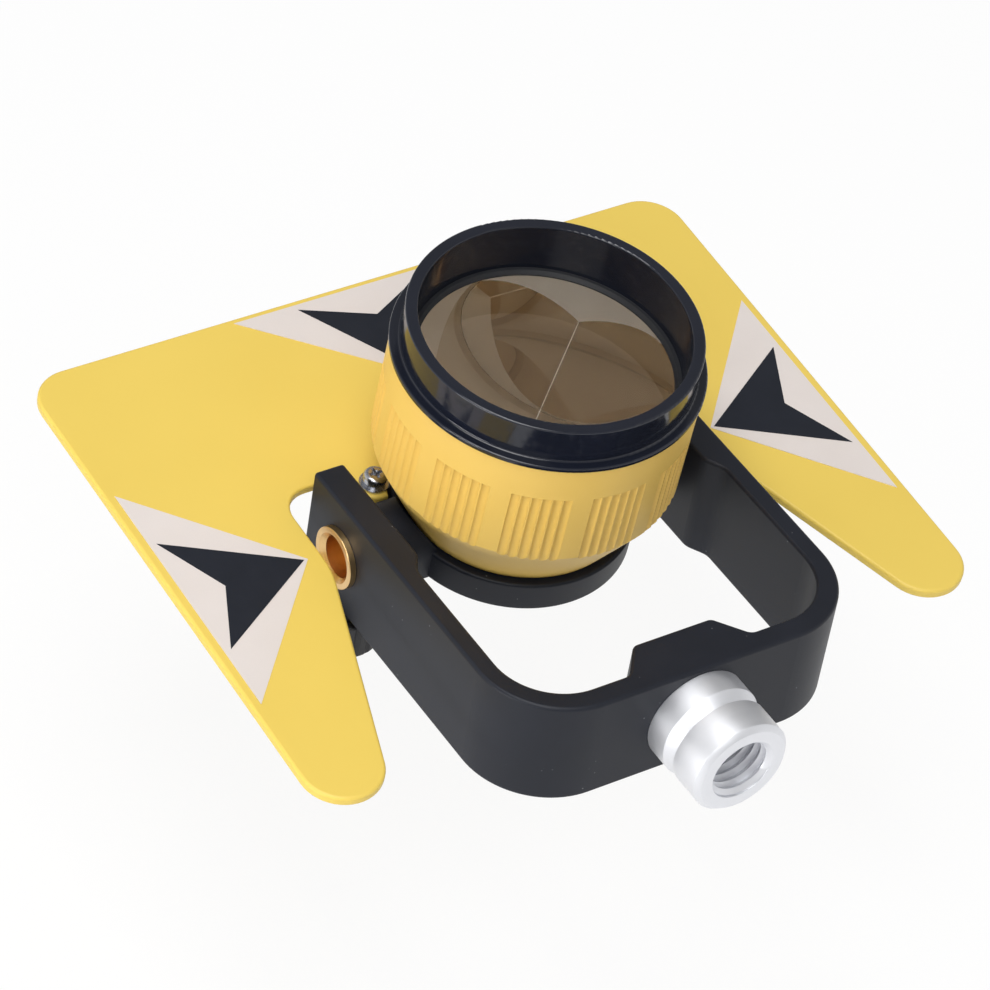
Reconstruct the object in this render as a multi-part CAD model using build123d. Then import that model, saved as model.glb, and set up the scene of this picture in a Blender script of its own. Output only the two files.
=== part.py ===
"""Tilting survey prism: a round corner-cube prism in a screw-in canister, carried with its
target plate in a U-shaped yoke that screws onto a survey pole.

Every piece is drawn about the tilt axis, in millimetres: X runs along the axis, the prism looks
along -Y and Z is up. The pieces are then set at their height above the pole thread's end face,
and those that tilt are turned by the tilt they rest at. Left is the side of negative X.
"""
from build123d import *
import os
from math import cos, pi, radians, sin, sqrt, tan

# ---- Placing ----
tilt_axis_height = 95.8  # tilt axis above the adapter's end face
rest_tilt = 4.4  # degrees that the prism looks down at rest

# ---- Clearances ----
running_play = 0.08  # radial, between pieces that turn on each other
thread_play = 0.05  # radial, between mating threads, which are drawn plain
face_play = 0.1  # between faces that slide past each other
pad_gap = 0.3  # clamp pad off the trunnion while the knob is slack
tip_play = 0.15  # ends of screws and studs in their blind holes

# ---- Yoke ----
yoke_half_width = 46.6
yoke_depth = 28.0
yoke_base_drop = 76.6  # underside of the base below the tilt axis
base_thickness = 5.5
arm_thickness = 4.9
tip_thickness = 7.8
tip_top = 14.2  # end of the arm above the tilt axis
tip_bottom = 18.6  # end of the thick part below the tilt axis
tip_step_height = 4.6
tip_step_radius = 4.5
tip_corner_radius = 0.8
outer_corner_radius = 20.5
inner_corner_radius = 15.5
boss_rise = 7.6
boss_top_half_width = 10.4
boss_foot_half_width = 16.4
boss_top_radius = 2.2
boss_foot_radius = 2.6
yoke_edge_radius = 0.9

# ---- Pole thread adapter, 5/8 inch - 11 female ----
collar_radius = 12.5
collar_length = 6.2
groove_root_radius = 10.4
groove_flank_length = 2.9
groove_length = 3.6
lower_collar_radius = 12.2
adapter_end_chamfer = 1.2
pole_thread_radius = 6.85  # crest of the internal thread
pole_thread_depth = 16.5
pole_thread_mouth_radius = 8.05
spigot_radius = 8.0
spigot_length = 8.5
adapter_screw_radius = 3.0
adapter_screw_grip = 8.0  # length of its thread in the adapter
adapter_screw_head_radius = 5.0
adapter_screw_head_height = 4.0
adapter_screw_hex = 4.0
adapter_screw_hex_depth = 2.0
adapter_screw_hole_radius = 3.3
adapter_washer_outer_radius = 5.0
adapter_washer_inner_radius = 3.1
adapter_washer_thickness = 1.4
washer_split = 0.7

# ---- Trunnions ----
trunnion_radius = 6.4
trunnion_flange_radius = 7.5
trunnion_flange_thickness = 1.6
trunnion_bore_radius = 5.1
trunnion_mouth_radius = 6.1
trunnion_mouth_depth = 1.3
trunnion_grip = 6.3  # length held in the ear
trunnion_bore_depth = 8.5
thrust_washer_thickness = 0.8
thrust_washer_radius = 8.6

# ---- Knob that locks the tilt, behind the left arm ----
stud_radius = 2.45
stud_nose_radius = 1.22
stud_nose_length = 1.25
stud_in_knob = 6.0
pad_radius = 2.42
pad_length = 2.2
knob_radius = 8.8
knob_height = 9.8
knob_hub_radius = 6.0
knob_hub_height = 1.3
knob_gap = 0.7  # hub off the back of the arm while slack
knob_edge_radius = 1.2
knob_foot_radius = 0.6
knob_flutes = 18
knob_flute_radius = 1.0
knob_flute_depth = 0.55

# ---- Tilt frame ----
frame_ring_radius = 28.8
frame_ring_front = -2.0
frame_ring_rear = 6.0
frame_ring_edge_radius = 0.8
ear_radius = 9.0
lug_half_width = 4.2
lug_rise = 4.4  # lug above its screw
canister_gap = 0.8  # ears off the canister's cone

# ---- Target plate ----
plate_width = 178.0
plate_top = 74.0
plate_thickness = 2.6
plate_back = 0.0
plate_corner_radius = 10.0
plate_edge_radius = 0.8
leg_end_radius = 10.0
leg_slant = 18.6  # degrees that the legs' inner edges lean out
notch_half_width = 51.5
notch_top = 19.7
notch_corner_radius = 7.0
notch_bend_radius = 25.0
notch_bend_drop = 5.0
tab_reach = 4.4  # from a screw to its tab's side and bottom edges
tab_corner_radius = 4.2
tab_root_radius = 2.0
frame_opening_radius = 29.6
plate_screw_x = 29.2
plate_screw_z = 14.8

# ---- Reflective triangles and the arrowheads printed on them ----
film_thickness = 0.15
film_base = 67.4
film_height = 31.4
film_side_margin = 2.3
film_top_margin = 1.6
arrow_thickness = 0.1
arrow_base = 34.2
arrow_height = 28.7
arrow_notch = 8.2
arrow_margin = 1.7

# ---- Plate screws, M3 pan heads on split and flat washers ----
plate_screw_radius = 1.5
plate_screw_hole_radius = 1.7
plate_screw_grip = 5.2
plate_screw_head_radius = 2.8
plate_screw_head_height = 2.1
plate_screw_head_rounding = 1.1
cross_width = 0.8
cross_span = 3.2
cross_depth = 1.3
cross_centre_radius = 1.0
spring_washer_radius = 2.75
spring_washer_thickness = 0.8
flat_washer_radius = 3.5
flat_washer_thickness = 0.6

# ---- Canister ----
canister_radius = 35.8
canister_front = -47.05
grip_front = -37.6
cone_start = -18.6
cone_end = -2.4
cone_end_radius = 26.6
neck_radius = 24.5
neck_rear = 5.5
neck_bore_radius = 21.8
canister_bore_radius = 33.0
seat_shoulder = -22.0
seat_shoulder_radius = 31.6
inner_cone_start = -19.0
canister_edge_radius = 0.4
grip_groups = 12
grip_turn = -1.4  # degrees from straight down to the middle of a group
grooves_in_group = 6
groove_pitch = 3.8  # degrees
groove_radius = 1.1
groove_depth = 0.7
seal_groove_depth = 0.6

# ---- Front bezel and its hood ----
hood_front = -57.2
hood_radius = 34.05
hood_foot_radius = 34.0
hood_bore_radius = 31.15
lip_radius = 36.3
lip_thickness = 1.05
lip_edge_radius = 0.4
hood_edge_radius = 0.5
skirt_radius = 33.55
skirt_bore_radius = 31.15
skirt_rear = -39.0
canister_o_ring_radius = 0.5
canister_o_ring_centre = 34.7

# ---- Prism ----
glass_front = -43.3
glass_radius = 31.0
glass_height = 46.0
glass_chamfer = 1.3
glass_roll = 39.0  # degrees from +X to the first of the three edges
coating_thickness = 0.2
gasket_thickness = 0.4
gasket_inner_radius = 29.6
retaining_ring_front = -44.6
retaining_ring_front_bore = 30.2
retaining_ring_rear_bore = 29.5
seat_bore_radius = 24.0
seat_play = 0.1
canister_seal_width = 1.5
canister_seal_thickness = 0.85

# ---- Rear cap ----
cap_radius = 23.6
cap_thickness = 2.6
cap_plug_length = 4.0
cap_plug_wall = 3.0
cap_edge_radius = 0.7
cap_slot_width = 2.4
cap_slot_length = 6.0
cap_slot_depth = 1.2
cap_slot_place = 16.0

# ---- Worked out from the above ----
yoke_front = -yoke_depth / 2
yoke_rear = yoke_depth / 2
base_top = base_thickness - yoke_base_drop
boss_top = base_top + boss_rise
arm_inner = yoke_half_width - arm_thickness
tip_inner = yoke_half_width - tip_thickness
tip_middle = yoke_half_width - tip_thickness / 2
lock_x = -tip_middle
trunnion_hole_radius = trunnion_radius + running_play
spigot_top = spigot_length - yoke_base_drop
ear_face = tip_inner - thrust_washer_thickness - face_play
trunnion_end = ear_face - trunnion_grip
stud_hole_radius = stud_radius + thread_play
pad_front = trunnion_radius + pad_gap
pad_rear = pad_front + pad_length
knob_front = yoke_rear + knob_gap
knob_shoulder = knob_front + knob_hub_height
knob_rear = knob_shoulder + knob_height
plate_front = plate_back - plate_thickness
film_front = plate_front - film_thickness
frame_bore_radius = neck_radius + thread_play
seal_inner_radius = neck_radius + face_play
seal_outer_radius = seal_inner_radius + canister_seal_width
lip_front = canister_front - lip_thickness
gasket_front = glass_front - gasket_thickness
apex = glass_front + glass_height


# ---- Shared shapes ----
def outline(*corners):
    """A flat face with corners (a, b) or (a, b, radius), each rounded to its radius."""
    arcs = []
    entries = []
    exits = []
    for index, corner in enumerate(corners):
        here = Vector(*corner[:2])
        back = (Vector(*corners[index - 1][:2]) - here).normalized()
        onward = (Vector(*corners[(index + 1) % len(corners)][:2]) - here).normalized()
        radius = corner[2] if len(corner) > 2 else 0
        half_turn = radians(back.get_angle(onward)) / 2
        reach = radius / tan(half_turn)
        entries.append(here + back * reach)
        exits.append(here + onward * reach)
        if radius:
            middle = here + (back + onward).normalized() * (radius / sin(half_turn) - radius)
            arcs.append(ThreePointArc(entries[-1], middle, exits[-1]))
    lines = []
    for index, entry in enumerate(entries):
        if (entry - exits[index - 1]).length > 1e-6:
            lines.append(Line(exits[index - 1], entry))
    return make_face(arcs + lines)


def turned(*corners):
    """A body of revolution about the Y axis from its half section, given as (radius, y)."""
    return revolve(outline(*corners), Axis.Y)


def turned_about_x(*corners):
    """A body of revolution about the X axis from its half section, given as (x, radius)."""
    return revolve(outline(*corners), Axis.X)


def turned_about_z(*corners):
    """A body of revolution about the Z axis from its half section, given as (radius, z)."""
    return revolve(Plane.XZ * outline(*corners), Axis.Z)


def rod(radius, start, end):
    """A plain cylinder along the Y axis."""
    return turned((0, start), (radius, start), (radius, end), (0, end))


def slab(face, front, back):
    """A face drawn in X and Z, made as thick as front to back along Y."""
    return extrude(Pos(0, back, 0) * (Plane.XZ * face), back - front, dir=(0, -1, 0))


def both_sides(points):
    """Corners of the right half, in order, followed by their mirror images."""
    return points + [(-point[0], *point[1:]) for point in reversed(points)]


def upright(piece):
    """A piece at its height above the pole thread."""
    return Pos(0, 0, tilt_axis_height) * piece


def tilted(piece):
    """A piece that tilts, at its height and at the tilt it rests at."""
    return upright(Rot(rest_tilt, 0, 0) * piece)


# ---- Yoke and pole adapter ----
def yoke():
    """Machined U-shaped yoke with a boss inside its base for the adapter's spigot."""
    step_bottom = tip_bottom + tip_step_height
    face = outline(
        *both_sides(
            [
                (yoke_half_width, -yoke_base_drop, outer_corner_radius),
                (yoke_half_width, tip_top, tip_corner_radius),
                (tip_inner, tip_top, tip_corner_radius),
                (tip_inner, -tip_bottom, tip_step_radius),
                (arm_inner, -step_bottom, tip_step_radius),
                (arm_inner, base_top, inner_corner_radius),
                (boss_foot_half_width, base_top, boss_foot_radius),
                (boss_top_half_width, boss_top, boss_top_radius),
            ]
        )
    )
    body = slab(face, yoke_front, yoke_rear)
    sides = body.faces().sort_by(Axis.Y)
    body = fillet(sides[0].edges() + sides[-1].edges(), yoke_edge_radius)
    for side in (-1, 1):
        body -= Pos(side * tip_middle, 0, 0) * Rot(0, 90, 0) * Cylinder(trunnion_hole_radius, 2 * tip_thickness)
    body -= Pos(lock_x, 0, 0) * rod(stud_hole_radius, 0, 2 * yoke_rear)
    pocket_top = spigot_top + tip_play
    pocket_radius = spigot_radius + thread_play
    body -= turned_about_z(
        (0, -2 * yoke_base_drop), (pocket_radius, -2 * yoke_base_drop), (pocket_radius, pocket_top), (0, pocket_top)
    )
    body -= turned_about_z(
        (0, spigot_top), (adapter_screw_hole_radius, spigot_top), (adapter_screw_hole_radius, 0), (0, 0)
    )
    return upright(body)


def thread_adapter():
    """Aluminium adapter: two collars with a quick-release groove, and the pole's female thread."""
    end = -tilt_axis_height
    groove_top = -yoke_base_drop - collar_length
    groove_bottom = groove_top - groove_length
    mouth_depth = pole_thread_mouth_radius - pole_thread_radius
    tapped_radius = adapter_screw_radius + thread_play
    tapped_bottom = spigot_top - adapter_screw_grip - tip_play
    return upright(
        turned_about_z(
            (tapped_radius, spigot_top),
            (spigot_radius, spigot_top),
            (spigot_radius, -yoke_base_drop),
            (collar_radius, -yoke_base_drop),
            (collar_radius, groove_top),
            (groove_root_radius, groove_top - groove_flank_length),
            (groove_root_radius, groove_bottom),
            (lower_collar_radius, groove_bottom),
            (lower_collar_radius, end + adapter_end_chamfer),
            (lower_collar_radius - adapter_end_chamfer, end),
            (pole_thread_mouth_radius, end),
            (pole_thread_radius, end + mouth_depth),
            (pole_thread_radius, end + pole_thread_depth),
            (0, end + pole_thread_depth),
            (0, tapped_bottom),
            (tapped_radius, tapped_bottom),
        )
    )


def adapter_screw():
    """Low-head socket screw that holds the adapter from inside the yoke."""
    seat = boss_top + adapter_washer_thickness
    tip = spigot_top - adapter_screw_grip
    head_top = seat + adapter_screw_head_height
    screw = turned_about_z(
        (0, tip),
        (adapter_screw_radius, tip),
        (adapter_screw_radius, seat),
        (adapter_screw_head_radius, seat),
        (adapter_screw_head_radius, head_top, adapter_screw_head_radius / 10),
        (0, head_top),
    )
    socket = RegularPolygon(adapter_screw_hex / 2, 6, major_radius=False)
    screw -= extrude(Pos(0, 0, head_top) * socket, -adapter_screw_hex_depth)
    return upright(screw)


def adapter_lock_washer():
    """Split ring under the adapter screw's head."""
    top = boss_top + adapter_washer_thickness
    ring = turned_about_z(
        (adapter_washer_inner_radius, boss_top),
        (adapter_washer_outer_radius, boss_top),
        (adapter_washer_outer_radius, top),
        (adapter_washer_inner_radius, top),
    )
    split = Pos(adapter_washer_outer_radius, 0, top) * Box(
        2 * adapter_washer_outer_radius, washer_split, 4 * adapter_washer_thickness
    )
    return upright(ring - split)


# ---- Trunnions and washers, one of each on either side ----
def trunnion(side):
    """Hollow brass trunnion: its flange sits outside the arm and its shank is held in the ear."""
    flange_inner = yoke_half_width + face_play
    flange_outer = flange_inner + trunnion_flange_thickness
    floor = flange_outer - trunnion_bore_depth
    body = turned_about_x(
        (trunnion_end, 0),
        (trunnion_end, trunnion_radius),
        (flange_inner, trunnion_radius),
        (flange_inner, trunnion_flange_radius),
        (flange_outer, trunnion_flange_radius, trunnion_flange_thickness / 8),
        (flange_outer, trunnion_mouth_radius),
        (flange_outer - trunnion_mouth_depth, trunnion_bore_radius),
        (floor, trunnion_bore_radius),
        (floor, 0),
    )
    return tilted(body if side > 0 else mirror(body, Plane.YZ))


def thrust_washer(side):
    """Plastic washer between the frame's ear and the arm."""
    inner_radius = trunnion_radius + running_play
    outer_face = ear_face + thrust_washer_thickness
    body = turned_about_x(
        (ear_face, inner_radius),
        (ear_face, thrust_washer_radius),
        (outer_face, thrust_washer_radius),
        (outer_face, inner_radius),
    )
    return tilted(body if side > 0 else mirror(body, Plane.YZ))


# ---- Lock of the tilt ----
def clamp_pad():
    """Brass pad on the stud's nose, which presses on the left trunnion without turning."""
    nose_hole = stud_nose_radius + running_play
    floor = pad_rear - stud_nose_length - tip_play
    pad = turned(
        (0, pad_front),
        (pad_radius, pad_front),
        (pad_radius, pad_rear),
        (nose_hole, pad_rear),
        (nose_hole, floor),
        (0, floor),
    )
    return upright(Pos(lock_x, 0, 0) * pad)


def lock_stud():
    """Steel stud moulded into the lock knob."""
    shoulder = pad_rear + face_play
    end = knob_shoulder + stud_in_knob
    stud = turned(
        (0, shoulder - stud_nose_length),
        (stud_nose_radius, shoulder - stud_nose_length),
        (stud_nose_radius, shoulder),
        (stud_radius, shoulder),
        (stud_radius, end),
        (0, end),
    )
    return upright(Pos(lock_x, 0, 0) * stud)


def lock_knob():
    """Fluted plastic knob behind the left arm."""
    bore = stud_radius + thread_play
    floor = knob_shoulder + stud_in_knob
    knob = turned(
        (0, floor),
        (bore, floor),
        (bore, knob_front),
        (knob_hub_radius, knob_front),
        (knob_hub_radius, knob_shoulder),
        (knob_radius, knob_shoulder, knob_foot_radius),
        (knob_radius, knob_rear, knob_edge_radius),
        (0, knob_rear),
    )
    flute = Pos(knob_radius + knob_flute_radius - knob_flute_depth, 0, 0) * rod(
        knob_flute_radius, knob_front, 2 * knob_rear
    )
    knob -= [Rot(0, 360 * index / knob_flutes, 0) * flute for index in range(knob_flutes)]
    return upright(Pos(lock_x, 0, 0) * knob)


# ---- Tilt frame ----
def tilt_frame():
    """Ring that the canister screws into, with an ear for each trunnion and a lug for each screw."""
    ring = turned(
        (frame_bore_radius, frame_ring_front),
        (frame_ring_radius, frame_ring_front, frame_ring_edge_radius),
        (frame_ring_radius, frame_ring_rear, frame_ring_edge_radius),
        (frame_bore_radius, frame_ring_rear),
    )
    lug_top = plate_screw_z + lug_rise
    lug_face = outline(
        (frame_bore_radius, -ear_radius),
        (plate_screw_x + lug_half_width, -ear_radius),
        (plate_screw_x + lug_half_width, lug_top, lug_half_width * 0.9),
        (plate_screw_x - lug_half_width, lug_top, lug_half_width * 0.9),
        (plate_screw_x - lug_half_width, 0),
    )
    ear = turned_about_x((0, 0), (0, ear_radius), (ear_face, ear_radius), (ear_face, 0))
    ear += slab(lug_face, plate_back, frame_ring_rear)
    body = ring + ear + mirror(ear, Plane.YZ)
    fit_radius = trunnion_radius
    hole = turned_about_x((trunnion_end, 0), (trunnion_end, fit_radius), (2 * ear_face, fit_radius), (2 * ear_face, 0))
    tapped = Pos(plate_screw_x, 0, plate_screw_z) * rod(
        plate_screw_radius + thread_play, 2 * plate_front, plate_screw_grip + tip_play
    )
    for cut in (hole, tapped):
        body -= [cut, mirror(cut, Plane.YZ)]
    body -= rod(frame_bore_radius, 2 * cone_start, 2 * canister_radius)
    body -= turned(
        (0, 2 * cone_start),
        (canister_radius + canister_gap, 2 * cone_start),
        (canister_radius + canister_gap, cone_start),
        (cone_end_radius + canister_gap, cone_end),
        (cone_end_radius + canister_gap, frame_ring_front),
        (0, frame_ring_front),
    )
    return tilted(body)


# ---- Target plate, its triangles and its fasteners ----
def leg_corner_drop():
    """Where a leg's outer edge and its slanted inner edge would meet, below the tilt axis."""
    return notch_bend_drop + (plate_width / 2 - notch_half_width) / tan(radians(leg_slant))


def target_plate():
    """Painted metal plate, notched from below so that it clears the arms."""
    half_width = plate_width / 2
    tab_edge = plate_screw_x + tab_reach
    face = outline(
        *both_sides(
            [
                (tab_edge, plate_screw_z - tab_reach, tab_corner_radius),
                (tab_edge, notch_top, tab_root_radius),
                (notch_half_width, notch_top, notch_corner_radius),
                (notch_half_width, -notch_bend_drop, notch_bend_radius),
                (half_width, -leg_corner_drop(), leg_end_radius),
                (half_width, plate_top, plate_corner_radius),
            ]
        )
    )
    face -= Circle(frame_opening_radius)
    plate = slab(face, plate_front, plate_back)
    sides = plate.faces().sort_by(Axis.Y)
    plate = fillet(sides[0].edges() + sides[-1].edges(), plate_edge_radius)
    hole = Pos(plate_screw_x, 0, plate_screw_z) * rod(plate_screw_hole_radius, 2 * plate_front, -plate_front)
    plate -= [hole, mirror(hole, Plane.YZ)]
    return tilted(plate)


def triangle_places():
    """Name, turn about Y and base distance of each triangle, which points at the prism."""
    side_base = plate_width / 2 - film_side_margin
    return {
        "left": (-90, side_base),
        "top": (0, plate_top - film_top_margin),
        "right": (90, side_base),
    }


def reflector(turn, base):
    """Triangle of white reflective film."""
    film = outline((-film_base / 2, base), (film_base / 2, base), (0, base - film_height))
    return tilted(Rot(0, turn, 0) * slab(film, film_front, plate_front))


def arrow(turn, base):
    """Black arrowhead printed on a triangle."""
    start = base - arrow_margin
    mark = outline(
        (-arrow_base / 2, start), (0, start - arrow_notch), (arrow_base / 2, start), (0, start - arrow_height)
    )
    return tilted(Rot(0, turn, 0) * slab(mark, film_front - arrow_thickness, film_front))


def plate_fasteners(piece):
    """The same fastener at both of the plate's screws, as two solids."""
    places = [Pos(side * plate_screw_x, 0, plate_screw_z) for side in (-1, 1)]
    return tilted(Compound(children=[place * piece for place in places]))


def plate_screws():
    """Cross-recessed pan-head screws."""
    seat = plate_front - flat_washer_thickness - spring_washer_thickness
    head_front = seat - plate_screw_head_height
    screw = turned(
        (0, head_front),
        (plate_screw_head_radius, head_front, plate_screw_head_rounding),
        (plate_screw_head_radius, seat),
        (plate_screw_radius, seat),
        (plate_screw_radius, plate_screw_grip),
        (0, plate_screw_grip),
    )
    blade = Pos(0, head_front, 0) * Box(cross_span, 2 * cross_depth, cross_width)
    centre = turned((0, head_front), (cross_centre_radius, head_front), (0, head_front + cross_depth))
    screw -= [blade, Rot(0, 90, 0) * blade, centre]
    return plate_fasteners(screw)


def plate_spring_washers():
    """Split rings under the screw heads."""
    rear = plate_front - flat_washer_thickness
    front = rear - spring_washer_thickness
    bore = plate_screw_hole_radius
    ring = turned((bore, front), (spring_washer_radius, front), (spring_washer_radius, rear), (bore, rear))
    split = Pos(spring_washer_radius, rear, 0) * Box(
        2 * spring_washer_radius, 4 * spring_washer_thickness, washer_split
    )
    return plate_fasteners(Rot(0, -120, 0) * (ring - split))


def plate_flat_washers():
    """Flat washers against the paint."""
    front = plate_front - flat_washer_thickness
    bore = plate_screw_hole_radius
    ring = turned(
        (bore, front), (flat_washer_radius, front), (flat_washer_radius, plate_front), (bore, plate_front)
    )
    return plate_fasteners(ring)


# ---- Canister ----
def canister():
    """Housing with a fluted grip, a cone and the threaded neck that screws into the tilt frame."""
    body = turned(
        (skirt_radius + thread_play, canister_front),
        (canister_radius, canister_front, canister_edge_radius),
        (canister_radius, cone_start, canister_edge_radius),
        (cone_end_radius, cone_end),
        (neck_radius, cone_end),
        (neck_radius, neck_rear),
        (neck_bore_radius, neck_rear),
        (neck_bore_radius, cone_end),
        (seat_shoulder_radius, inner_cone_start),
        (seat_shoulder_radius, seat_shoulder),
        (canister_bore_radius, seat_shoulder),
        (canister_bore_radius, skirt_rear + face_play),
        (skirt_radius + thread_play, skirt_rear + face_play),
    )
    groove = Pos(0, 0, -canister_radius - groove_radius + groove_depth) * rod(groove_radius, grip_front, 0)
    middle = (grooves_in_group - 1) / 2
    turns = [
        grip_turn + 360 * group / grip_groups + groove_pitch * (place - middle)
        for group in range(grip_groups)
        for place in range(grooves_in_group)
    ]
    body -= [Rot(0, -turn, 0) * groove for turn in turns]
    seal_room = seal_outer_radius + face_play
    body -= turned(
        (neck_radius, cone_end - seal_groove_depth),
        (seal_room, cone_end - seal_groove_depth),
        (seal_room, cone_end),
        (neck_radius, cone_end),
    )
    ring_groove = canister_o_ring_radius + thread_play
    body -= turned(
        (canister_o_ring_centre - ring_groove, canister_front),
        (canister_o_ring_centre + ring_groove, canister_front),
        (canister_o_ring_centre + ring_groove, canister_front + 2 * ring_groove),
        (canister_o_ring_centre - ring_groove, canister_front + 2 * ring_groove),
    )
    return tilted(body)


def canister_seal():
    """Rubber ring in the canister's shoulder, which rides out with it and doesn't turn."""
    front = cone_end - seal_groove_depth + thread_play
    rear = front + canister_seal_thickness
    return tilted(
        turned(
            (seal_inner_radius, front),
            (seal_outer_radius, front),
            (seal_outer_radius, rear),
            (seal_inner_radius, rear),
        )
    )


def front_bezel():
    """Hood, lip and threaded skirt in one turned piece."""
    return tilted(
        turned(
            (hood_bore_radius, hood_front, hood_edge_radius),
            (hood_radius, hood_front, hood_edge_radius),
            (hood_foot_radius, lip_front, hood_edge_radius),
            (lip_radius, lip_front, lip_edge_radius),
            (lip_radius, canister_front),
            (skirt_radius, canister_front),
            (skirt_radius, skirt_rear),
            (skirt_bore_radius, skirt_rear),
            (skirt_bore_radius, retaining_ring_front),
        )
    )


def canister_o_ring():
    """O-ring between the canister's front face and the bezel's lip."""
    centre = canister_front + canister_o_ring_radius + face_play
    section = Pos(canister_o_ring_centre, centre) * Circle(canister_o_ring_radius)
    return tilted(revolve(section, Axis.Y))


def retaining_ring():
    """Threaded ring that holds the glass from the front."""
    radius = skirt_bore_radius - thread_play
    return tilted(
        turned(
            (retaining_ring_front_bore, retaining_ring_front),
            (radius, retaining_ring_front),
            (radius, gasket_front),
            (retaining_ring_rear_bore, gasket_front),
        )
    )


def glass_gasket():
    """Flat ring between the retaining ring and the glass."""
    return tilted(
        turned(
            (gasket_inner_radius, gasket_front),
            (glass_radius, gasket_front),
            (glass_radius, glass_front),
            (gasket_inner_radius, glass_front),
        )
    )


def corner_cube(radius, tip):
    """A cylinder from the glass's front face, ended by three faces square to each other."""
    side = 3 * radius
    lean = 90 + Vector(1, 1, 1).get_angle(Vector(0, 0, 1))
    cube = Rot(lean, 0, 0) * Rot(0, 0, 45) * Pos(side / 2, side / 2, side / 2) * Box(side, side, side)
    return rod(radius, glass_front, tip) & (Pos(0, tip, 0) * Rot(0, -90 - glass_roll, 0) * cube)


def prism_glass():
    """Corner-cube reflector cut to a cylinder, its front edge ground to a chamfer."""
    ground = turned(
        (0, glass_front),
        (glass_radius - glass_chamfer, glass_front),
        (glass_radius, glass_front + glass_chamfer),
        (glass_radius, apex),
        (0, apex),
    )
    return tilted(corner_cube(glass_radius, apex) & ground)


def prism_coating():
    """Metal coating on the three rear faces."""
    coat = corner_cube(glass_radius, apex + coating_thickness * sqrt(3)) - corner_cube(2 * glass_radius, apex)
    return tilted(coat)


def prism_seat():
    """Moulded ring whose pocket fits the coated rear faces and keeps the glass from turning."""
    ring = turned(
        (seat_bore_radius, skirt_rear),
        (canister_bore_radius - face_play, skirt_rear),
        (canister_bore_radius - face_play, seat_shoulder),
        (seat_bore_radius, seat_shoulder),
    )
    pocket = corner_cube(glass_radius + seat_play, apex + (coating_thickness + seat_play) * sqrt(3))
    return tilted(ring - pocket)


def rear_cap():
    """Threaded cap with two spanner slots, which closes the neck behind the glass."""
    plug_radius = neck_bore_radius - thread_play
    rear = neck_rear + cap_thickness
    cap = turned(
        (0, neck_rear),
        (plug_radius - cap_plug_wall, neck_rear),
        (plug_radius - cap_plug_wall, neck_rear - cap_plug_length),
        (plug_radius, neck_rear - cap_plug_length),
        (plug_radius, neck_rear),
        (cap_radius, neck_rear),
        (cap_radius, rear, cap_edge_radius),
        (0, rear),
    )
    slot = Pos(cap_slot_place, rear, 0) * Box(cap_slot_length, 2 * cap_slot_depth, cap_slot_width)
    return tilted(cap - [slot, Rot(0, 180, 0) * slot])


# ---- Write one STEP file for each piece ----
pieces = {
    "yoke": yoke(),
    "thread_adapter": thread_adapter(),
    "adapter_screw": adapter_screw(),
    "adapter_lock_washer": adapter_lock_washer(),
    "clamp_pad": clamp_pad(),
    "lock_stud": lock_stud(),
    "lock_knob": lock_knob(),
    "tilt_frame": tilt_frame(),
    "target_plate": target_plate(),
    "plate_screws": plate_screws(),
    "plate_spring_washers": plate_spring_washers(),
    "plate_flat_washers": plate_flat_washers(),
    "canister": canister(),
    "canister_seal": canister_seal(),
    "front_bezel": front_bezel(),
    "canister_o_ring": canister_o_ring(),
    "retaining_ring": retaining_ring(),
    "glass_gasket": glass_gasket(),
    "prism_glass": prism_glass(),
    "prism_coating": prism_coating(),
    "prism_seat": prism_seat(),
    "rear_cap": rear_cap(),
}
for side_name, side in (("left", -1), ("right", 1)):
    pieces[f"trunnion_{side_name}"] = trunnion(side)
    pieces[f"thrust_washer_{side_name}"] = thrust_washer(side)
for place_name, (turn, base) in triangle_places().items():
    pieces[f"reflector_{place_name}"] = reflector(turn, base)
    pieces[f"arrow_{place_name}"] = arrow(turn, base)

os.makedirs("parts", exist_ok=True)
for piece_name, piece in pieces.items():
    export_step(piece, f"parts/{piece_name}.step")
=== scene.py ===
"""A survey prism in its target plate and tilting yoke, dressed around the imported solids."""

from math import cos, radians, sin, sqrt

import bmesh
import bpy
from mathutils import Matrix, Vector


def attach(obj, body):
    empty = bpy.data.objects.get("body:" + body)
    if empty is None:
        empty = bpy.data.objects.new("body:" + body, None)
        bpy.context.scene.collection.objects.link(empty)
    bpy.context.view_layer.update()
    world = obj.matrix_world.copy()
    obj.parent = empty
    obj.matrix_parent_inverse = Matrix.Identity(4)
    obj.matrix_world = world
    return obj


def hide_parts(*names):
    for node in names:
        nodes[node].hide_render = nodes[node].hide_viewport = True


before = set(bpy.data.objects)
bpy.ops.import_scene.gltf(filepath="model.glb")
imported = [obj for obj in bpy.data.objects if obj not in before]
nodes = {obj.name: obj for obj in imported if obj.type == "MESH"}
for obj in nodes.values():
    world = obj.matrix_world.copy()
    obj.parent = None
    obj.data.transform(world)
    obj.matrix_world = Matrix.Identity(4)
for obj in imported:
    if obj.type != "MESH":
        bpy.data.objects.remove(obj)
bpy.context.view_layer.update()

# ---- Yoke ----
# The U-shaped carrier is milled from aluminium in one piece, bead blasted and black anodised.
# A fine blasted grain and a little dust are all that break up its dull black.
MM = 0.001


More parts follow.
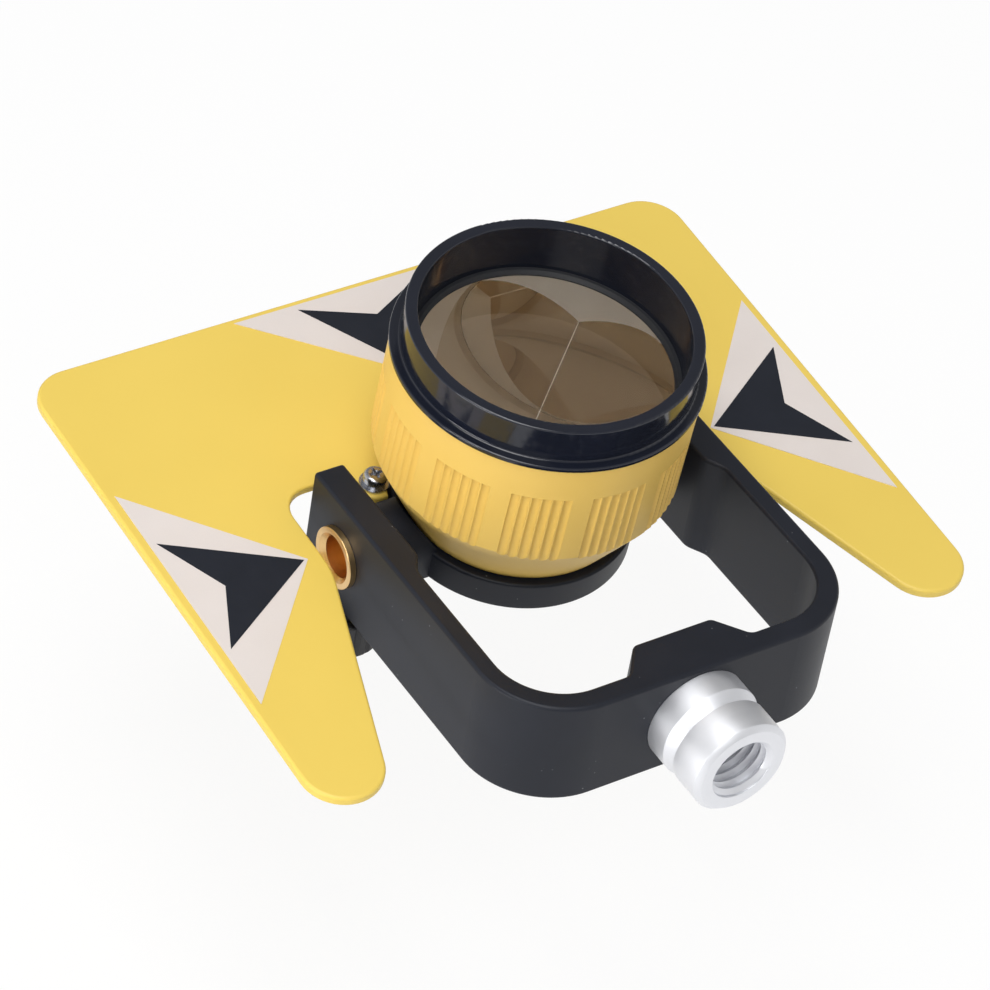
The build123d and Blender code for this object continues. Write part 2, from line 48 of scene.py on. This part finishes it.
class Signal:
    """One output in a finish's nodes. Arithmetic on it adds Math nodes."""

    def __init__(self, tree, socket=None):
        self.tree = tree
        self.socket = socket

    def node(self, kind, settings, inputs, output=0):
        """Adds a node: its type, its settings, then its sockets' values or links."""
        added = self.tree.nodes.new(kind)
        for name, value in settings.items():
            setattr(added, name, value)
        for name, value in inputs.items():
            if isinstance(value, Signal):
                self.tree.links.new(value.socket, added.inputs[name])
            else:
                added.inputs[name].default_value = value
        return Signal(self.tree, added.outputs[output])

    def maths(self, operation, first, second):
        return self.node("ShaderNodeMath", {"operation": operation}, {0: first, 1: second})

    def __add__(self, other):
        return self.maths("ADD", self, other)

    def __sub__(self, other):
        return self.maths("SUBTRACT", self, other)

    def __rsub__(self, other):
        return self.maths("SUBTRACT", other, self)

    def __mul__(self, other):
        return self.maths("MULTIPLY", self, other)

    __radd__ = __add__
    __rmul__ = __mul__


def colour(red, green, blue):
    """A display colour, 0 to 255, as the shader's linear one."""
    linear = [
        part / 12.92 if part <= 0.04045 else ((part + 0.055) / 1.055) ** 2.4
        for part in (red / 255, green / 255, blue / 255)
    ]
    return (*linear, 1)


def begin(name):
    """A new finish, with its shader and the piece's own coordinates."""
    finish = bpy.data.materials.new(name)
    finish.use_nodes = True
    shader = finish.node_tree.nodes["Principled BSDF"]
    place = Signal(finish.node_tree).node("ShaderNodeTexCoord", {}, {}, "Object")
    return finish, shader, place


def mottle(place, size, detail=2.0):
    """Cloudy variation, 0 to 1, with patches of about that size."""
    return place.node("ShaderNodeTexNoise", {}, {"Vector": place, "Scale": 1 / size, "Detail": detail})


def ramp(signal, low, high, first=0.0, last=1.0):
    """The signal's stretch from low to high as first to last, and level beyond."""
    return signal.node(
        "ShaderNodeMapRange",
        {"interpolation_type": "SMOOTHSTEP"},
        {"Value": signal, "From Min": low, "From Max": high, "To Min": first, "To Max": last},
    )


def mixed(amount, first, second):
    """Two colours, mixed by a signal."""
    return amount.node("ShaderNodeMix", {"data_type": "RGBA"}, {0: amount, 6: first, 7: second}, 2)


def cells(place, spacing):
    """Distance to the nearest of many scattered points, as a share of their spacing."""
    return place.node("ShaderNodeTexVoronoi", {}, {"Vector": place, "Scale": 1 / spacing}, "Distance")


def specks(place, spacing, size):
    """Scattered round specks, 1 on a speck and 0 off it."""
    return ramp(cells(place, spacing), size / spacing, 0.6 * size / spacing)


def relief(height, depth):
    """A bump of that depth in metres."""
    return height.node("ShaderNodeBump", {}, {"Distance": depth, "Height": height})


def connect(shader, **signals):
    """Links signals to the shader's sockets, such as base_color to Base Color."""
    for name, signal in signals.items():
        socket = shader.inputs[name.replace("_", " ").title()]
        signal.tree.links.new(signal.socket, socket)


def level(shader, **values):
    """Sets what is the same all over a finish on the shader's own sockets."""
    for name, value in values.items():
        label = name.replace("_", " ").title().replace("Ior", "IOR")
        shader.inputs[label].default_value = value


def dress(finish, *names):
    """Gives CAD nodes a finish."""
    for name in names:
        nodes[name].data.materials.clear()
        nodes[name].data.materials.append(finish)


black_anodised, shader, place = begin("black_anodised")
grain = mottle(place, 0.16 * MM)
cloud = mottle(place, 14 * MM, detail=3.0)
dust = specks(place, 2.4 * MM, 0.2 * MM) * ramp(mottle(place, 7 * MM), 0.55, 0.65)
black = mixed(cloud, colour(20, 23, 31), colour(30, 33, 43))
connect(
    shader,
    base_color=mixed(dust * 0.5, black, colour(150, 152, 156)),
    roughness=0.38 + cloud * 0.1 + grain * 0.08,
    normal=relief(grain, 0.012 * MM),
)
level(shader, specular_ior_level=0.3)
dress(black_anodised, "yoke")

# ---- Pole adapter ----
# Turned from bright aluminium bar, with a groove for a quick-release clamp.
# Its bore is tapped to take the pole's coarse stud, 11 threads to the inch.
COLLAR_RADIUS = 12.5 * MM
LOWER_COLLAR_RADIUS = 12.2 * MM
GROOVE_RADIUS = 10.4 * MM
GROOVE_FOOT = 9.4 * MM
GROOVE_TOP = 10.1 * MM
COLLAR_FOOT = 13.0 * MM
YOKE_UNDERSIDE = 19.2 * MM
SPIGOT_RADIUS = 8.0 * MM
SPIGOT_TOP = 27.7 * MM
TAP_RADIUS = 3.05 * MM
TAP_FLOOR = 19.55 * MM
BORE_DEPTH = 16.5 * MM
END_CHAMFER = 1.2 * MM
EDGE_BREAK = 0.2 * MM
THREAD_PITCH = 25.4 * MM / 11
THREAD_ROOT = 7.94 * MM
THREAD_CREST = 6.85 * MM
THREAD_MOUTH = 8.05 * MM
THREAD_SUNK = 0.05 * MM  # how far the ridge reaches into the bore's wall
ROOT_HALF_WIDTH = 0.47 * THREAD_PITCH
CREST_HALF_WIDTH = 0.07 * THREAD_PITCH
THREAD_END = 0.02 * MM  # how far the ridge stays inside the end face
THREAD_TURNS = 6.25
STEPS_PER_TURN = 60


def new_piece(name, mesh, *finishes):
    """Makes an object of a finished bmesh."""
    data = bpy.data.meshes.new(name)
    mesh.to_mesh(data)
    mesh.free()
    for finish in finishes:
        data.materials.append(finish)
    piece = bpy.data.objects.new(name, data)
    bpy.context.scene.collection.objects.link(piece)
    return piece


def lathe(outline, axis=(0, 0, 1), steps=120):
    """A mesh spun about an axis through the origin from points (radius, along)."""
    mesh = bmesh.new()
    turn = Vector((0, 0, 1)).rotation_difference(Vector(axis)).to_matrix()
    points = [mesh.verts.new(turn @ Vector((radius, 0, along))) for radius, along in outline]
    edges = [mesh.edges.new(pair) for pair in zip(points, points[1:])]
    bmesh.ops.spin(
        mesh,
        geom=points + edges,
        cent=(0, 0, 0),
        axis=axis,
        angle=radians(360),
        steps=steps,
        use_merge=True,
    )
    bmesh.ops.remove_doubles(mesh, verts=mesh.verts, dist=0.0001 * MM)
    bmesh.ops.recalc_face_normals(mesh, faces=mesh.faces)
    return mesh


def shade(mesh, sharp):
    """Smooth faces, with edges sharper than that many degrees kept crisp."""
    for face in mesh.faces:
        face.smooth = True
    for edge in mesh.edges:
        edge.smooth = len(edge.link_faces) == 2 and edge.calc_face_angle(0) < radians(sharp)


def ease(mesh, edges, width, segments, clamp_overlap):
    """Breaks edges, as a deburring tool does, and gives the faces that this leaves."""
    return bmesh.ops.bevel(
        mesh,
        geom=edges,
        offset=width,
        offset_type="OFFSET",
        segments=segments,
        profile=0.5,
        affect="EDGES",
        material=-1,
        clamp_overlap=clamp_overlap,
    )["faces"]


def around(place, centre, turn):
    """Distance from an axis, and distance along it. Unturned, the axis is Z."""
    local = place.node(
        "ShaderNodeMapping",
        {"vector_type": "TEXTURE"},
        {"Vector": place, "Location": centre, "Rotation": [radians(part) for part in turn]},
    )
    flat = local.node("ShaderNodeVectorMath", {"operation": "MULTIPLY"}, {0: local, 1: (1, 1, 0)})
    radius = flat.node("ShaderNodeVectorMath", {"operation": "LENGTH"}, {0: flat}, "Value")
    along = local.node("ShaderNodeSeparateXYZ", {}, {0: local}, "Z")
    return radius, along


def turned_metal(name, dark, bright, roughness, centre=(0, 0, 0), turn=(0, 0, 0), ring=0.09 * MM):
    """Metal off a lathe, with fine rings about its axis."""
    finish, shader, place = begin(name)
    radius, along = around(place, centre, turn)
    reach = radius.node("ShaderNodeCombineXYZ", {}, {"X": radius, "Y": along})
    rings = mottle(reach, ring, detail=3.0)
    cloud = mottle(place, 4 * MM, detail=3.0)
    connect(
        shader,
        base_color=mixed(0.6 * rings + 0.4 * cloud, dark, bright),
        roughness=roughness + rings * 0.12 + cloud * 0.08,
        normal=relief(rings, 0.004 * MM),
    )
    level(shader, metallic=1)
    return finish


turned_aluminium = turned_metal(
    "turned_aluminium", colour(226, 227, 232), colour(241, 242, 245), roughness=0.4
)
adapter = lathe(
    [
        (0, BORE_DEPTH),
        (THREAD_ROOT, BORE_DEPTH),
        (THREAD_ROOT, THREAD_MOUTH - THREAD_ROOT),
        (THREAD_MOUTH, 0),
        (LOWER_COLLAR_RADIUS - END_CHAMFER, 0),
        (LOWER_COLLAR_RADIUS, END_CHAMFER),
        (LOWER_COLLAR_RADIUS, GROOVE_FOOT),
        (GROOVE_RADIUS, GROOVE_FOOT),
        (GROOVE_RADIUS, GROOVE_TOP),
        (COLLAR_RADIUS, COLLAR_FOOT),
        (COLLAR_RADIUS, YOKE_UNDERSIDE),
        (SPIGOT_RADIUS, YOKE_UNDERSIDE),
        (SPIGOT_RADIUS, SPIGOT_TOP),
        (TAP_RADIUS, SPIGOT_TOP),
        (TAP_RADIUS, TAP_FLOOR),
        (0, TAP_FLOOR),
    ]
)
corners = [
    edge
    for edge in adapter.edges
    if len(edge.link_faces) == 2 and edge.calc_face_angle(0) > radians(25)
]
ease(adapter, corners, EDGE_BREAK, segments=2, clamp_overlap=True)
shade(adapter, sharp=15)
ridge = bmesh.new()
flank = [
    ridge.verts.new((radius, 0, along - THREAD_PITCH / 2))
    for radius, along in (
        (THREAD_ROOT + THREAD_SUNK, -ROOT_HALF_WIDTH),
        (THREAD_CREST, -CREST_HALF_WIDTH),
        (THREAD_CREST, CREST_HALF_WIDTH),
        (THREAD_ROOT + THREAD_SUNK, ROOT_HALF_WIDTH),
    )
]
ridge.faces.new(flank)
bmesh.ops.spin(
    ridge,
    geom=ridge.verts[:] + ridge.edges[:] + ridge.faces[:],
    cent=(0, 0, 0),
    axis=(0, 0, 1),
    dvec=(0, 0, THREAD_PITCH / STEPS_PER_TURN),
    angle=radians(360 * THREAD_TURNS),
    steps=round(STEPS_PER_TURN * THREAD_TURNS),
    use_merge=False,
)
# The ridge is cut back along the mouth's countersink, and ends at the end face.
for point in ridge.verts:
    radius = point.co.xy.length
    opened = max(radius, min(THREAD_MOUTH, THREAD_MOUTH - point.co.z))
    point.co.xy *= opened / radius
    point.co.z = max(point.co.z, THREAD_END)
bmesh.ops.recalc_face_normals(ridge, faces=ridge.faces)
shade(ridge, sharp=40)
thread = bpy.data.meshes.new("thread")
ridge.to_mesh(thread)
ridge.free()
adapter.from_mesh(thread)
bpy.data.meshes.remove(thread)
pole_adapter = new_piece("pole_adapter", adapter, turned_aluminium)
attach(pole_adapter, "mount_yoke")
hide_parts("thread_adapter")

# ---- Adapter screw and its lock washer ----
# A plated steel socket screw with a low head, tightened from inside the yoke.
# The split washer under it keeps it from working loose.
brushed_steel = turned_metal(
    "brushed_steel", colour(120, 122, 126), colour(176, 178, 182), roughness=0.3
)
dress(brushed_steel, "adapter_screw", "adapter_lock_washer")

# ---- Trunnions ----
# Two bored brass bushes, turned and pressed into the tilt frame's ears.
# The plate and prism tip on them, and their mouths are countersunk and polished.
TILT_CENTRE = Vector((0, 0, 95.8 * MM))  # on the tilt axis, above the adapter's end face

turned_brass = turned_metal(
    "turned_brass",
    colour(208, 170, 114),
    colour(238, 204, 148),
    roughness=0.2,
    centre=TILT_CENTRE,
    turn=(0, 90, 0),
    ring=0.07 * MM,
)
dress(turned_brass, "trunnion_left", "trunnion_right")

# ---- Thrust washers ----
# White nylon rings, cut from sheet and slipped over the trunnions' shanks.
# They keep the tilt frame's ears from rubbing on the yoke's arms.
white_nylon, shader, place = begin("white_nylon")
cloud = mottle(place, 3 * MM, detail=3.0)
connect(
    shader,
    base_color=mixed(cloud, colour(222, 221, 214), colour(238, 237, 231)),
    roughness=0.42 + cloud * 0.12,
    normal=relief(mottle(place, 0.3 * MM), 0.01 * MM),
)
dress(white_nylon, "thrust_washer_left", "thrust_washer_right")

# ---- Tilt lock ----
# A fluted black plastic knob moulded on a steel stud, which turns in the left arm.
# The stud pushes a small brass pad against the trunnion.
black_plastic, shader, place = begin("black_plastic")
grain = mottle(place, 0.22 * MM)
cloud = mottle(place, 5 * MM, detail=3.0)
connect(
    shader,
    base_color=mixed(cloud, colour(24, 25, 28), colour(36, 37, 41)),
    roughness=0.45 + grain * 0.15,
    normal=relief(grain, 0.02 * MM),
)
level(shader, specular_ior_level=0.45)
dress(black_plastic, "lock_knob")
dress(brushed_steel, "lock_stud")
dress(turned_brass, "clamp_pad")

# ---- Tilt frame ----
# A milled aluminium ring with two ears and two lugs, black anodised as the yoke is.
# It carries the plate and the canister between the trunnions.
dress(black_anodised, "tilt_frame")

# ---- Target plate ----
# Cut flat from aluminium plate and powder coated in a satin signal yellow.
# The coat lies thick and rounded over the edges, with a faint orange-peel skin.
yellow_paint, shader, place = begin("yellow_paint")
peel = mottle(place, 0.9 * MM)
cloud = mottle(place, 40 * MM)
scuff = specks(place, 9 * MM, 0.12 * MM) * ramp(mottle(place, 20 * MM), 0.5, 0.62)
yellow = mixed(cloud, colour(229, 198, 88), colour(237, 207, 98))
connect(
    shader,
    base_color=mixed(scuff * 0.5, yellow, colour(120, 100, 50)),
    roughness=0.4 + peel * 0.08 + cloud * 0.05,
    normal=relief(peel, 0.012 * MM),
)
dress(yellow_paint, "target_plate")

# ---- Reflective triangles ----
# Three pale triangles of retroreflective film, die cut and stuck to the plate.
# Fine glass beads under the film give it a soft, slightly pink grain.
white_film, shader, place = begin("white_film")
beads = cells(place, 0.28 * MM)
cloud = mottle(place, 12 * MM)
film = mixed(cloud, colour(220, 211, 206), colour(228, 220, 216))
connect(
    shader,
    base_color=mixed(ramp(beads, 0.1, 0.6, last=0.1), film, colour(205, 196, 192)),
    roughness=0.34 + beads * 0.12,
    normal=relief(beads, 0.006 * MM),
)
dress(white_film, "reflector_left", "reflector_top", "reflector_right")

# ---- Printed arrowheads ----
# A black arrowhead on each triangle, screen printed to point at the prism's centre.
# The ink dries dull, with a very fine tooth.
black_print, shader, place = begin("black_print")
cloud = mottle(place, 6 * MM, detail=3.0)
grain = mottle(place, 0.25 * MM)
connect(
    shader,
    base_color=mixed(cloud, colour(29, 32, 40), colour(37, 40, 49)),
    roughness=0.36 + grain * 0.1,
    normal=relief(grain, 0.005 * MM),
)
level(shader, specular_ior_level=0.2)
dress(black_print, "arrow_left", "arrow_top", "arrow_right")

# ---- Plate screws and washers ----
# Pan-head steel screws with cross recesses hold the plate to the frame's lugs.
# Each has a split spring washer and a flat washer under its head, all bright plated.
PLATE_LEAN = 4.4  # degrees that the plate and prism look down
PLATE_SCREW = Vector((29.2 * MM, 0, 14.8 * MM))  # the right one, from the tilt axis
bright_steel = turned_metal(
    "bright_steel",
    colour(150, 152, 158),
    colour(214, 216, 222),
    roughness=0.16,
    centre=TILT_CENTRE + PLATE_SCREW,
    turn=(90 + PLATE_LEAN, 0, 0),
    ring=0.06 * MM,
)
dress(bright_steel, "plate_screws", "plate_spring_washers", "plate_flat_washers")

# ---- Canister ----
# The prism's housing is turned from aluminium and coated in a warm satin yellow.
# Twelve groups of six grooves are milled round it as a grip.
yellow_coat, shader, place = begin("yellow_coat")
peel = mottle(place, 0.5 * MM)
cloud = mottle(place, 18 * MM)
connect(
    shader,
    base_color=mixed(cloud, colour(228, 189, 92), colour(236, 198, 103)),
    roughness=0.38 + peel * 0.08 + cloud * 0.06,
    normal=relief(peel, 0.01 * MM),
)
dress(yellow_coat, "canister")

# ---- Seals ----
# Two rings of black rubber keep the wet out of the threads.
# A flat one is let into the canister's shoulder, a round one lies under the hood's lip.
black_rubber, shader, place = begin("black_rubber")
grain = mottle(place, 0.3 * MM, detail=4.0)
connect(
    shader,
    base_color=mixed(grain, colour(22, 22, 24), colour(34, 34, 36)),
    roughness=0.62 + grain * 0.2,
    normal=relief(grain, 0.02 * MM),
)
dress(black_rubber, "canister_seal", "canister_o_ring")

# ---- Front bezel ----
# The glossy black hood is moulded in one with its lip and screws into the canister.
# It keeps rain and stray light off the glass.
black_gloss, shader, place = begin("black_gloss_plastic")
cloud = mottle(place, 16 * MM)
film = mottle(place, 2.2 * MM, detail=4.0)
connect(
    shader,
    base_color=mixed(cloud, colour(18, 21, 31), colour(27, 31, 43)),
    roughness=0.1 + ramp(film, 0.45, 0.75, last=0.14),
    normal=relief(film, 0.003 * MM),
)
level(shader, specular_ior_level=0.5)
dress(black_gloss, "front_bezel")

# ---- Retaining ring and gasket ----
# A black plastic ring with a fine thread, which screws in behind the hood.
# It holds the glass down on a thin rubber gasket.
dress(black_plastic, "retaining_ring")
dress(black_rubber, "glass_gasket")

# ---- Prism glass ----
# A corner cube of optical glass, ground to a cylinder with a polished front face.
# Its three rear faces carry a bare copper coating that reflects what enters.
GLASS_RADIUS = 31.0 * MM
GLASS_FRONT = -43.3 * MM
GLASS_APEX = 2.7 * MM
GLASS_ROLL = 39.0  # degrees from the right to the first of the three edges
GLASS_CHAMFER = 1.3 * MM
GLASS_ARRIS = 0.12 * MM
GLASS_INDEX = 1.52
CLEAR, COATED, GROUND = range(3)  # the piece's finishes, in order
FLAT = 0.9  # a face whose normal is this near the axis belongs to the front

optical_glass, shader, place = begin("optical_glass")
smear = mottle(place, 9 * MM, detail=4.0)
connect(shader, base_color=mixed(smear, colour(255, 255, 255), colour(250, 250, 249)))
level(shader, transmission_weight=1, ior=GLASS_INDEX, roughness=0.0)

copper_mirror, shader, place = begin("copper_mirror")
cloud = mottle(place, 8 * MM, detail=3.0)
connect(shader, base_color=mixed(cloud, colour(235, 226, 212), colour(240, 232, 220)))
level(shader, metallic=1, roughness=0.0)

ground_edge, shader, place = begin("ground_glass_edge")
grit = mottle(place, 0.4 * MM, detail=3.0)
connect(
    shader,
    base_color=mixed(grit, colour(231, 223, 212), colour(243, 236, 226)),
    roughness=0.7 + grit * 0.2,
)

glass = lathe(
    [
        (0, -GLASS_FRONT),
        (GLASS_RADIUS - GLASS_CHAMFER, -GLASS_FRONT),
        (GLASS_RADIUS, -GLASS_FRONT - GLASS_CHAMFER),
        (GLASS_RADIUS, -GLASS_APEX - GLASS_RADIUS),
        (0, -GLASS_APEX - GLASS_RADIUS),
    ],
    axis=(0, -1, 0),
    steps=180,
)
# Each of the cube's edges stands square to the rear face opposite it.
for third in range(3):
    bearing = radians(GLASS_ROLL + 120 * third)
    outward = Vector((cos(bearing), 0, sin(bearing)))
    cube_edge = sqrt(1 / 3) * Vector((0, -1, 0)) + sqrt(2 / 3) * outward
    bmesh.ops.bisect_plane(
        glass,
        geom=glass.verts[:] + glass.edges[:] + glass.faces[:],
        plane_co=(0, GLASS_APEX, 0),
        plane_no=cube_edge,
        clear_inner=True,
    )
    rim = [edge for edge in glass.edges if len(edge.link_faces) == 1]
    for face in bmesh.ops.contextual_create(glass, geom=rim)["faces"]:
        face.material_index = COATED
for face in glass.faces:
    if face.material_index == CLEAR and abs(face.normal.y) < FLAT:
        face.material_index = GROUND
arrises = [
    edge for edge in glass.edges if all(face.material_index == COATED for face in edge.link_faces)
]
for face in ease(glass, arrises, GLASS_ARRIS, segments=1, clamp_overlap=False):
    face.material_index = GROUND
bmesh.ops.recalc_face_normals(glass, faces=glass.faces)
shade(glass, sharp=20)
glass.transform(Matrix.Translation(TILT_CENTRE) @ Matrix.Rotation(radians(PLATE_LEAN), 4, "X"))
prism = new_piece("corner_cube_prism", glass, optical_glass, copper_mirror, ground_edge)
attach(prism, "canister_unit")
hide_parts("prism_glass", "prism_coating")

# ---- Prism seat and rear cap ----
# The glass beds in a ring moulded from black plastic, which carries its rear faces.
# A threaded cap with two spanner slots closes the canister's neck behind it.
dress(black_plastic, "prism_seat", "rear_cap")

# ---- Camera, floor and light ----
# The whole lies on its back over a white floor, in soft light from three broad panels.
# The camera sees floor and room near white. Gloss, glass and dull faces each get a share of their own.
FLOOR_DEPTH = 0.11
FLOOR_REACH = 3.0
FLOOR_SEEN = 0.9  # share of plain white in the floor that the camera sees
FLOOR_MIRRORED = 0.7  # and in the floor that gloss and metal mirror
ROOM_SOFT = 0.42  # the room's light on dull faces
GLANCE = (0.47, -0.66, 0.58)  # where the camera would look, were the plate's face a mirror
PANEL_SIDE = 0.6
BOUNCES = 32  # light turns many times inside the glass

camera = bpy.data.objects.new("camera", bpy.data.cameras.new("camera"))
camera.location = (-0.53872, -0.75678, -0.56531)
camera.rotation_euler = (radians(133.270), radians(31.851), radians(-8.892))
camera.data.lens = 179.758
camera.data.sensor_width = 36
camera.data.clip_end = 20
bpy.context.scene.collection.objects.link(camera)
bpy.context.scene.camera = camera
bpy.context.view_layer.update()


def light_path(signal, kind):
    """1 where the ray is of that kind, and 0 for any other."""
    return signal.node("ShaderNodeLightPath", {}, {}, kind)


floor_white, shader, place = begin("floor_white")
cloud = mottle(place, 200 * MM)
connect(shader, base_color=mixed(cloud, colour(250, 250, 250), colour(252, 252, 252)))
level(shader, roughness=0.9, specular_ior_level=0.0)
tree = floor_white.node_tree
seen = light_path(place, "Is Camera Ray")
mirrored = light_path(place, "Is Glossy Ray")
behind = place.node("ShaderNodeNewGeometry", {}, {}, "Backfacing")
glow = place.node("ShaderNodeEmission", {}, {"Color": (1, 1, 1, 1), "Strength": 1.0})
clear = place.node("ShaderNodeBsdfTransparent", {}, {})
base = Signal(tree, shader.outputs[0])
share = seen * FLOOR_SEEN + (1 - seen) * mirrored * FLOOR_MIRRORED
front = share.node("ShaderNodeMixShader", {}, {0: share, 1: base, 2: glow})
whole = front.node("ShaderNodeMixShader", {}, {0: behind, 1: front, 2: clear})
tree.links.new(whole.socket, tree.nodes["Material Output"].inputs[0])
sheet = bmesh.new()
bmesh.ops.create_grid(sheet, x_segments=2, y_segments=2, size=FLOOR_REACH)
floor_place = TILT_CENTRE + Vector((0, FLOOR_DEPTH, 0))
sheet.transform(Matrix.Translation(floor_place) @ Matrix.Rotation(radians(90), 4, "X"))
floor = new_piece("floor", sheet, floor_white)


def facing(sight, way):
    """How nearly a line of sight goes that way, 1 when it does."""
    return sight.node("ShaderNodeVectorMath", {"operation": "DOT_PRODUCT"}, {0: sight, 1: way}, "Value")


world = bpy.data.worlds.new("studio")
bpy.context.scene.world = world
world.use_nodes = True
tree = world.node_tree
sight = Signal(tree).node("ShaderNodeTexCoord", {}, {}, "Generated")
at_camera = facing(sight, (camera.location - TILT_CENTRE).normalized())
aloft = facing(sight, GLANCE)
seen = light_path(sight, "Is Camera Ray")
diffuse = light_path(sight, "Is Diffuse Ray")
inside = light_path(sight, "Is Transmission Ray")
# Gloss and metal find the room dimmer behind the camera and around the glance.
room = ramp(at_camera, 0.1, 0.9, first=0.9, last=0.45) * ramp(aloft, 0.3, 0.9, first=1.0, last=0.35)
# Light that has passed the glass finds it brighter there.
glass_fill = ramp(aloft, 0.0, 0.9, first=0.8, last=1.5)
unseen = diffuse * ROOM_SOFT + inside * glass_fill + (1 - diffuse - inside) * room
strength = seen + (1 - seen) * unseen
background = tree.nodes["Background"]
background.inputs["Color"].default_value = (1, 1, 1, 1)
tree.links.new(strength.socket, background.inputs["Strength"])

axes = camera.matrix_world.to_3x3()


def panel(name, right, up, back, watts):
    """A soft light panel, set out in the camera's directions and not seen through glass."""
    lamp = bpy.data.lights.new(name, "AREA")
    lamp.shape = "SQUARE"
    lamp.size = PANEL_SIDE
    lamp.energy = watts
    hung = bpy.data.objects.new(name, lamp)
    away = axes @ Vector((right, up, back))
    hung.location = TILT_CENTRE + away
    hung.rotation_euler = away.to_track_quat("Z", "Y").to_euler()
    hung.visible_transmission = False
    bpy.context.scene.collection.objects.link(hung)


panel("key_panel", -0.9, -0.6, 0.5, watts=16.5)
panel("fill_panel", -0.05, 0.7, 1.0, watts=8.0)
panel("front_panel", 0.0, 0.1, 1.25, watts=3.8)

bpy.context.scene.cycles.max_bounces = BOUNCES
bpy.context.scene.cycles.glossy_bounces = BOUNCES
bpy.context.scene.cycles.transmission_bounces = BOUNCES
bpy.context.scene.view_settings.view_transform = "Standard"
